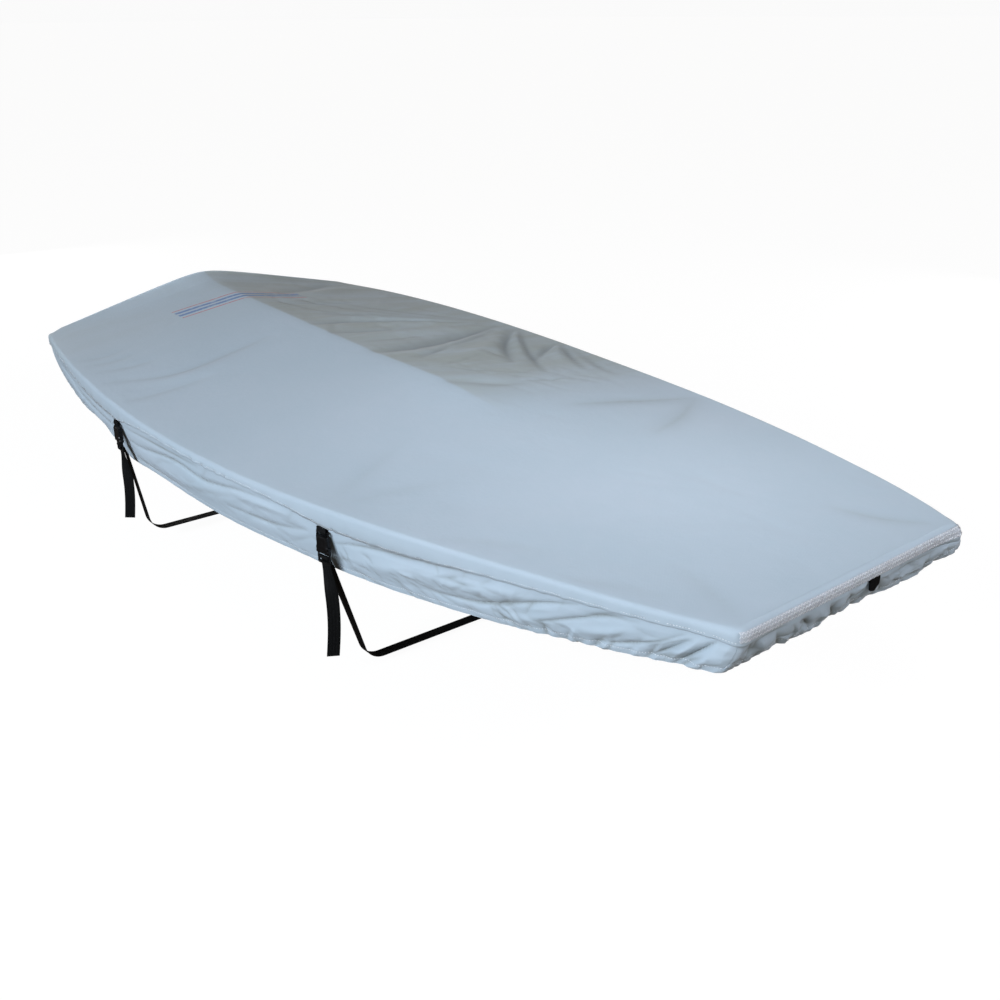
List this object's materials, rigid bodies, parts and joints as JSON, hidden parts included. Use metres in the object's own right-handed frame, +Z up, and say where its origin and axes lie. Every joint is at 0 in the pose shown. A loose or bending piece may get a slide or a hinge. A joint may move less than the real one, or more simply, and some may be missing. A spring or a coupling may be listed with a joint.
{
  "type": "boat cover",
  "caption": "Fitted cloth top cover for a small pram dinghy, with a centre ridge, an elastic-hemmed skirt and buckled webbing straps that pass under the hull.",
  "frame": {"origin": "on the centreline at half the cover's length, at the height of the boat's edge at its stern corners; it is the point that the boat holds the cover by", "axes": "+X to the bow, +Y to port, +Z up"},
  "size_m": [2.3218, 1.152, 0.4708],
  "materials": {
    "cover_cloth": "coated woven polycotton, pale blue-grey, with a low sheen",
    "tape_cloth": "woven tape, zigzag stitched, a little lighter than the cloth",
    "webbing": "black polypropylene webbing",
    "buckle": "black moulded acetal"
  },
  "bodies": {
    "root": {"top_panel": "cover_cloth", "bow_tape": "tape_cloth", "skirt_starboard": "cover_cloth", "skirt_port": "cover_cloth", "skirt_bow": "cover_cloth", "skirt_stern": "cover_cloth", "webbing_tab_aft": "webbing", "webbing_tab_forward": "webbing", "buckle_socket_aft": "buckle", "buckle_socket_forward": "buckle", "buckle_clip_aft": "buckle", "buckle_clip_forward": "buckle", "belly_strap_aft": "webbing", "belly_strap_forward": "webbing", "bow_tab": "webbing"}
  },
  "joints": []
}
